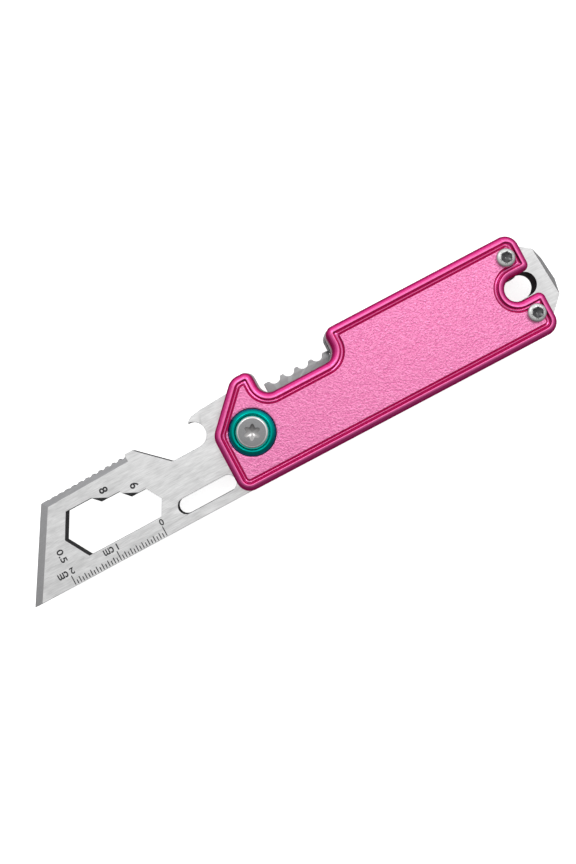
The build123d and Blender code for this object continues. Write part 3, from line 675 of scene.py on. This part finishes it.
# %% Finish the scales
# Of these, the wall, slope, deep groove and bore pinks are painted shade, and the mouth pink is a painted
# highlight.
PINKS = (
    "pink_face", "pink_rim", "pink_groove", "pink_wall_painted_shade", "pink_mouth_painted_highlight", "pink_bore_painted_shade", "pink_slope_painted_shade", "pink_painted_crease_shade",
)
FACE, RIM, RIDGE, WALL, HOLE_MOUTH, HOLE_BORE, SLOPE, GROOVE = range(len(PINKS))
SLOPE_BAND = (0.40, 0.80)        # insets between which the rolled edge is painted darker, a painted shade
GROOVE_BAND = (1.25, 2.30)
GROOVE_RIDGE = (1.56, 1.96)
WALL_SHARE = 0.8                 # below this share of the rolled edge, a face counts as wall
LEVEL, SLANTING = 0.9, 0.3       # a normal's height on a level face, and on a slanting one at least
OUTLINE = [Vector(point[:2]) for point in ring(0, 0)]


def inset_of(centre):
    """Roughly how far inside the outline a place is, from the nearest stretch of the first ring."""
    here = ((centre - PIVOT) / MM).xy
    nearest = TAIL_END - LEFT_END
    for start, end in zip(OUTLINE, OUTLINE[1:] + OUTLINE[:1]):
        along = end - start
        share = max(0, min(1, (here - start).dot(along) / max(along.length_squared, 1e-9)))
        nearest = min(nearest, (here - start - along * share).length)
    return nearest


def scale_finish(crest):
    """Which of the pinks a face of the plate takes, by its depth, its inset and its tilt."""
    def choose(face):
        depth = abs(face.center.z / MM - crest)
        inset = inset_of(face.center)
        if depth > RIM_DROP * WALL_SHARE:
            return WALL if inset < GROOVE_BAND[0] else HOLE_BORE
        if inset < SLOPE_BAND[0]:
            return WALL
        if inset < GROOVE_BAND[0]:
            return RIM if inset > SLOPE_BAND[1] else SLOPE
        if inset < GROOVE_BAND[1]:
            return RIDGE if GROOVE_RIDGE[0] < inset < GROOVE_RIDGE[1] else GROOVE
        tilt = abs(face.normal.z)
        return FACE if tilt > LEVEL else HOLE_MOUTH if tilt > SLANTING else HOLE_BORE
    return choose


for plate, crest, node in (
    (front_plate, FACE_TOP, "front_scale"), (rear_plate, REAR_BOX[0].z / MM, "rear_scale"),
):
    finish_faces(plate, PINKS, scale_finish(crest))
    smooth(plate)
    hand_over(plate, "handle", "anodised_pink", node)

# %% [markdown]
# ## The pivot
# A teal collar stands in the counterbore, crowned so that its outer slope is broad and its inner one narrow,
# and the pivot screw's head sits inside it. A collar is one turned section, drawn from its bore outwards and
# back over the crown. Its foot, where little light reaches, is painted near black as shade.

# %% Collars
CROWN_Z = COLLAR_BOX[1].z / MM
COLLAR_LEDGE = 0.5               # the screw's and the barrel's heads bear on a ledge this thick
COLLAR_FOOT = 4.34               # beyond this radius a collar is painted dark, a painted shade
front_collar = turned("front_collar", [
    (BORE, SEAT_Z), (4.50, SEAT_Z), (4.50, SEAT_Z + 0.95), (4.42, SEAT_Z + 1.14), (4.10, SEAT_Z + 1.47),
    (3.84, SEAT_Z + 1.67), (3.72, SEAT_Z + 1.77), (3.60, CROWN_Z), (3.48, SEAT_Z + 1.74),
    (3.32, SEAT_Z + 1.52), (3.24, SEAT_Z + 1.26), (3.22, SEAT_Z + COLLAR_LEDGE),
    (BORE, SEAT_Z + COLLAR_LEDGE),
], at(0, 0), steps=128)
REAR_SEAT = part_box("rear_pivot_collar")[1].z / MM
REAR_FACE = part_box("rear_pivot_collar")[0].z / MM
rear_collar = turned("rear_collar", [
    (2.46, REAR_SEAT), (4.52, REAR_SEAT), (4.52, REAR_FACE + 0.15), (4.37, REAR_FACE), (3.38, REAR_FACE),
    (3.2, REAR_FACE + 0.18), (3.2, REAR_SEAT - COLLAR_LEDGE), (2.46, REAR_SEAT - COLLAR_LEDGE),
], at(0, 0), steps=128)


def collar_finish(face):
    """0 for the collar's slopes and crown, 1 for its foot, which is painted dark as shade."""
    return int((face.center - at(0, 0)).xy.length > COLLAR_FOOT * MM)


for collar, node in ((front_collar, "front_pivot_collar"), (rear_collar, "rear_pivot_collar")):
    finish_faces(collar, ("teal", "teal_painted_shade"), collar_finish)
    smooth(collar)
    hand_over(collar, "handle", "anodised_teal", node)

# %% [markdown]
# The pivot screw's head is turned, and its driver recess is punched over a drilled hole. The cutter
# is a shell of three rings: a speck at the bottom, the six lobes on the drill's cone, and the same
# lobes above the head. Its radius swells and shrinks six times on the way round.


# %% Six-lobe recesses
LOBE_WAVE = 0.17                 # how far the lobes swell and shrink, as a share of their reach
RECESS_LIP = 0.1                 # straight wall above the cone at a lobe's tip
RECESS_SLOPE = 0.62              # fall of the cone towards the middle


def lobe_cutter(centre, radius, face, slope, steps=72):
    """A cutter for a driver recess: six rounded lobes over the cone that the drill leaves."""
    up = 1 if slope > 0 else -1

    def outline(size, wave, height):
        points = []
        for step in range(steps):
            angle = 2 * pi * step / steps
            reach = size * (1 - wave + wave * cos(6 * angle))
            points.append((centre.x + reach * cos(angle), centre.y + reach * sin(angle), height(reach)))
        return points

    def cone(reach):
        return face - RECESS_LIP * up - slope * (radius - reach)

    return ring_shell("lobe_cutter", [
        outline(radius * 0.05, 0, cone), outline(radius, LOBE_WAVE, cone),
        outline(radius, LOBE_WAVE, lambda reach: face + up),
    ])


def screw_finish(centre, recess_radius, edge_radius):
    """Which finish a face of a screw takes: 0 the turned top, 1 the polished edge, 2 the recess."""
    def choose(face):
        reach = (face.center.xy - centre.xy).length / MM
        inside = reach < recess_radius and abs(face.normal.z) < 0.98
        return 2 if inside else 0 if reach < edge_radius and abs(face.normal.z) > 0.99 else 1
    return choose


SCREW_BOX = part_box("pivot_screw")
SCREW_END = SCREW_BOX[0].z / MM
HEAD_TOP = SCREW_BOX[1].z / MM
HEAD_SEAT = SEAT_Z + COLLAR_LEDGE
PIVOT_RECESS = 1.62              # the lobes' reach
PIVOT_RECESS_RIM = 1.66
PIVOT_HEAD_FLAT = 2.7            # radius of the head's turned face
pivot_head = turned("pivot_screw_turned", [
    (0, SCREW_END), (1.5, SCREW_END), (1.6, SCREW_END + 0.15), (1.6, HEAD_SEAT), (3.13, HEAD_SEAT),
    (3.13, HEAD_TOP - 0.38), (3.09, HEAD_TOP - 0.30), (2.72, HEAD_TOP - 0.02), (2.64, HEAD_TOP),
    (0, HEAD_TOP),
], at(0, 0), steps=128)
cut(pivot_head, lobe_cutter(Vector((0, 0)), PIVOT_RECESS, HEAD_TOP, RECESS_SLOPE))
pivot_finish = screw_finish(at(0, 0), PIVOT_RECESS_RIM, PIVOT_HEAD_FLAT)
finish_faces(pivot_head, ("screw_face", "screw_edge", "recess"), pivot_finish)
smooth(pivot_head)
hand_over(pivot_head, "handle", "fastener_steel", "pivot_screw")

# %% [markdown]
# The tail screws are button heads: a short rim and a dome. Each is turned at its own packed box, so
# that no screw can drift off its hole. The rear ones lie sunk in the scale and are drawn upside down.

# %% Tail screws
HEAD_RADIUS = 1.8
DOME_FOOT, DOME_RISE = 0.28, 0.62
DOME_LEANS = [radians(lean) for lean in (86, 72, 58, 46, 36, 28)]
TAIL_RECESS = 1.14               # the lobes' reach
TAIL_RECESS_RIM = 1.15
TAIL_HEAD_FLAT = 0.9
for side, place in TAIL_SCREWS.items():
    low, high = (corner.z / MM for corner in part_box(f"front_tail_screw_{side}"))
    seat = high - HEAD_HEIGHT
    dome = [(HEAD_RADIUS * sin(lean), seat + DOME_FOOT + DOME_RISE * cos(lean)) for lean in DOME_LEANS]
    front_screw = turned(f"front_button_screw_{side}", [
        (0, low), (0.85, low), (0.95, low + 0.15), (0.95, seat), (HEAD_RADIUS - 0.05, seat),
        (HEAD_RADIUS, seat + 0.06), (HEAD_RADIUS, seat + 0.26), *dome, (0.7, high), (0, high),
    ], at(place.x, place.y), steps=72)
    cut(front_screw, lobe_cutter(place.xy, TAIL_RECESS, high, RECESS_SLOPE))
    low, high = (corner.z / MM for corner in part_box(f"rear_tail_screw_{side}"))
    seat = low + HEAD_HEIGHT
    rear_screw = turned(f"rear_button_screw_{side}", [
        (0, high), (0.85, high), (0.95, high - 0.15), (0.95, seat), (HEAD_RADIUS, seat),
        (HEAD_RADIUS, low + 0.2), (HEAD_RADIUS - 0.2, low + 0.05), (HEAD_RADIUS - 0.4, low), (0, low),
    ], at(place.x, place.y), steps=72)
    cut(rear_screw, lobe_cutter(place.xy, TAIL_RECESS, low, -RECESS_SLOPE))
    tail_finish = screw_finish(at(place.x, place.y), TAIL_RECESS_RIM, TAIL_HEAD_FLAT)
    for screw, node in ((front_screw, f"front_tail_screw_{side}"), (rear_screw, f"rear_tail_screw_{side}")):
        # The recess finish is painted near black, a painted shade.
        finish_faces(screw, ("button_face", "button_face", "recess_painted_shade"), tail_finish)
        smooth(screw)
        hand_over(screw, "handle", "fastener_steel", node)

# %% [markdown]
# The pivot barrel's head closes the rear of the pivot. Its face is turned with a shallow dish, as a
# lathe leaves it.

# %% Pivot barrel
BARREL_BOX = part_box("pivot_barrel")
BARREL_FLOOR = 3.5               # bottom of the bore that takes the pivot screw
barrel_face = BARREL_BOX[0].z / MM
barrel_end = BARREL_BOX[1].z / MM
barrel = turned("pivot_barrel_turned", [
    (0, barrel_face + 0.12), (1.2, barrel_face + 0.12), (1.35, barrel_face), (2.85, barrel_face),
    (3.1, barrel_face + 0.2), (3.1, REAR_SEAT - COLLAR_LEDGE), (2.4, REAR_SEAT - COLLAR_LEDGE),
    (2.4, barrel_end), (1.65, barrel_end), (1.65, BARREL_FLOOR), (0, BARREL_FLOOR),
], at(0, 0), steps=96)
finish_faces(barrel, ("screw_face", "screw_edge"), lambda face: int(abs(face.normal.z) < 0.99))
smooth(barrel)
hand_over(barrel, "handle", "fastener_steel", "pivot_barrel")

# %% [markdown]
# ## The blade
# The blade is sawn from plate, so it starts from its CAD part. Its edges are broken, all but the teeth, which
# stay sharp. Then each face takes a finish by which way it looks: the broad flats are brushed along the blade,
# the ground bevels across it, and the bevel behind the teeth is painted darker, a painted shade. The walls of
# the openings carry the saw's marks and are painted near black, as painted shade. The faces turn little where a
# bevel starts, so they are smoothed at a smaller angle than the other pieces, or the bevels would shade into
# the flats.

# %% Blade
SERRATION_FOOT = 6.95            # the serrated edge lies beyond this, across the blade
SERRATION_SPAN = (-43.2, -23.0)  # and between these, along it
BLADE_SMOOTHING = 22             # degrees; the bevel behind the teeth turns more than this


def across_blade(place):
    """A place in metres as millimetres along and across the blade, from the pivot."""
    return Matrix.Rotation(-BLADE_TILT, 3, "Z") @ (place - PIVOT) / MM


def on_serration(place):
    """Whether a place is on the serrated edge, whose teeth stay sharp."""
    here = across_blade(place)
    return here.y > SERRATION_FOOT and SERRATION_SPAN[0] < here.x < SERRATION_SPAN[1]


PLATE_BREAK = 0.08               # how far a plate's edges are broken
LINER_BREAK = 0.05
blade = copy_of_part("blade", "blade_ground")
break_edges(blade, PLATE_BREAK, leave=on_serration)
FLAT_TILT, BEVEL_TILT = 0.995, 0.5   # a normal's height on a flat, and on a bevel, at least


def steel_by_tilt(face):
    """0 for a broad flat, 1 for a ground bevel, 2 for a wall, whose finish is painted dark as shade."""
    tilt = abs(face.normal.z)
    if tilt > FLAT_TILT:
        return 0
    return 1 if tilt > BEVEL_TILT else 2


def blade_steel(face):
    """The same, with 3 for the bevel behind the serrated edge, painted darker as shade."""
    kind = steel_by_tilt(face)
    return 3 if kind == 1 and abs(face.normal.y) > abs(face.normal.x) else kind


finish_faces(blade, ("blade_flat", "blade_ground", "steel_wall_painted_shade", "blade_serrated_painted_shade"), blade_steel)
smooth(blade, angle=BLADE_SMOOTHING)
hand_over(blade, "blade", "blade_steel", "blade")

# %% [markdown]
# The ruler and the size numbers are burnt in by laser, dark and flush. Here they are thin dark tiles
# that stand about a hundredth of a millimetre out of the steel. A tick is modelled once and copied
# along the edge: sixteen divisions to the centimetre, every second one longer, the centimetre ones
# longest.

# %% Ruler ticks
MARK_SINK = 0.02
MARK_PROUD = 0.012
MARK_HEIGHT = BLADE_TOP + (MARK_PROUD - MARK_SINK) / 2
EDGE = -9.88                     # the ruler's edge, across the blade
TICK_GAP = 0.2                   # from that edge to the ticks
TICK_WIDTH = 0.2
TICK_LENGTHS = (2.0, 1.25, 0.87)  # at a centimetre, at an even division and at an odd one
ZERO_X = -24.1
DIVISIONS = 16
CENTIMETRES = 2
bpy.ops.object.select_all(action="DESELECT")
bpy.ops.mesh.primitive_cube_add(size=1)
first_tick = bpy.context.object
bpy.ops.object.mode_set(mode="EDIT")
bpy.ops.mesh.select_all(action="SELECT")
bpy.ops.mesh.bevel(offset=0.18, segments=2, affect="EDGES")
bpy.ops.object.mode_set(mode="OBJECT")
ticks = []
for step in range(CENTIMETRES * DIVISIONS + 1):
    length = TICK_LENGTHS[0 if step % DIVISIONS == 0 else 1 + step % 2]
    tick = bpy.data.objects.new("tick", first_tick.data.copy())
    bpy.context.scene.collection.objects.link(tick)
    middle = on_blade(ZERO_X - 10 * step / DIVISIONS, EDGE + TICK_GAP + length / 2, MARK_HEIGHT)
    size = Vector((TICK_WIDTH, length, MARK_SINK + MARK_PROUD)) * MM
    tick.data.transform(Matrix.LocRotScale(middle, Matrix.Rotation(BLADE_TILT, 3, "Z"), size))
    ticks.append(tick)
bpy.data.objects.remove(first_tick)
start_with(ticks[0])
for tick in ticks:
    tick.select_set(True)
bpy.ops.object.join()
ruler = bpy.context.object
ruler.name = "ruler_ticks"
finish_faces(ruler, ("laser_black",), lambda face: 0)
hand_over(ruler, "blade", "laser_mark")

# %% [markdown]
# The numbers are text objects turned into meshes. Each is centred first, and then it is sent to its
# place by moving its vertices, so that its object stays at the origin.


# %% Numbers
def lettering(text, x, y, height, turn, width=None, weight=0.02):
    """A number as a thin tile on the blade, centred on a place and turned by so many degrees."""
    bpy.ops.object.select_all(action="DESELECT")
    bpy.ops.object.text_add()
    mark = bpy.context.object
    mark.data.body = text
    mark.data.extrude = 0.5
    mark.data.offset = weight
    mark.data.resolution_u = 4
    bpy.ops.object.convert(target="MESH")
    mark = bpy.context.object
    bpy.ops.object.mode_set(mode="EDIT")
    bpy.ops.mesh.select_all(action="SELECT")
    bpy.ops.mesh.remove_doubles(threshold=0.0001)
    bpy.ops.object.mode_set(mode="OBJECT")
    low = Vector(map(min, *[vertex.co for vertex in mark.data.vertices]))
    high = Vector(map(max, *[vertex.co for vertex in mark.data.vertices]))
    mark.data.transform(Matrix.Translation(-(low + high) / 2))
    tall = height / (high.y - low.y)
    wide = width / (high.x - low.x) if width else tall
    scale = Vector((wide, tall, MARK_SINK + MARK_PROUD)) * MM
    turned_by = Matrix.Rotation(radians(turn) + BLADE_TILT, 3, "Z")
    mark.data.transform(Matrix.LocRotScale(on_blade(x, y, MARK_HEIGHT), turned_by, scale))
    return mark


MARKS = [  # text, x, y, height, turn and width
    ("0", -23.85, -6.86, 1.3, 180, None),
    ("1", -33.6, -6.95, 1.3, 180, None),
    ("cm", -35.5, -6.95, 1.25, 180, 2.1),
    ("2", -43.5, -6.93, 1.3, 180, None),
    ("cm", -45.5, -6.95, 1.25, 180, 2.1),
    ("8", -30.8, 3.93, 1.75, -90, None),
    ("6", -25.1, 1.93, 1.75, -90, None),
    ("0.5", -43.9, -3.5, 1.35, -90, 2.65),
]
marks = [lettering(*mark) for mark in MARKS]
start_with(marks[0])
for mark in marks:
    mark.select_set(True)
bpy.ops.object.join()
numbers = bpy.context.object
numbers.name = "size_numbers"
finish_faces(numbers, ("laser_black",), lambda face: 0)
hand_over(numbers, "blade", "laser_mark")

# %% [markdown]
# ## The steel between the scales
# The liners, the lock bar and the tail plate are sawn plates too. The liners show only as bright
# slivers inside the cut-out, the lock bar as a row of rounded teeth, and the tail plate as a pry tip.
# They could be drawn afresh, but their CAD parts hold the true outlines, so copies of them are used.

# %% Liners, lock bar and tail plate
# The third finish, for walls, is painted near black as shade.
LINER_FINISHES = ("satin_steel", "satin_steel", "steel_wall_painted_shade")
for node, body, slot, finishes, width in (
    ("front_liner", "handle", "liner_steel", LINER_FINISHES, LINER_BREAK),
    ("rear_liner", "handle", "liner_steel", LINER_FINISHES, LINER_BREAK),
    ("lock_bar", "lock_bar", "liner_steel", LINER_FINISHES, PLATE_BREAK),
    ("tail_plate", "handle", "blade_steel", ("plate_flat", "blade_ground", "steel_wall_painted_shade"), PLATE_BREAK),
):
    plate = copy_of_part(node, f"{node}_steel")
    break_edges(plate, width)
    finish_faces(plate, finishes, steel_by_tilt)
    smooth(plate)
    hand_over(plate, body, slot, node)

# %% [markdown]
# The washers, the stop pin, the standoffs and the detent ball are turned parts that hide inside. Their
# CAD shapes are right as they are, so they only take a finish.

# %% Small inner parts
INNER = {
    "front_pivot_washer": "bronze", "rear_pivot_washer": "bronze", "stop_pin": "screw_edge",
    "upper_tail_standoff": "screw_edge", "lower_tail_standoff": "screw_edge", "detent_ball": "screw_edge",
}
for node, finish in INNER.items():
    part = frame["nodes"][node]
    part.data.materials.clear()
    part.data.materials.append(FINISH[finish])
print("finished inner parts:", len(INNER))

# %% [markdown]
# ## Last look
# The finished tool's size is printed beside the size of its CAD parts. The finished
# tool has to fill the same box as its CAD parts.

# %% Sizes and finish
visual_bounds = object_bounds()
sizes = {
    "cad": [list(corner) for corner in cad_bounds],
    "visual": [list(corner) for corner in visual_bounds],
}
for name, (low, high) in sizes.items():
    print(name, [round((b - a) / MM, 3) for a, b in zip(low, high)], "mm")
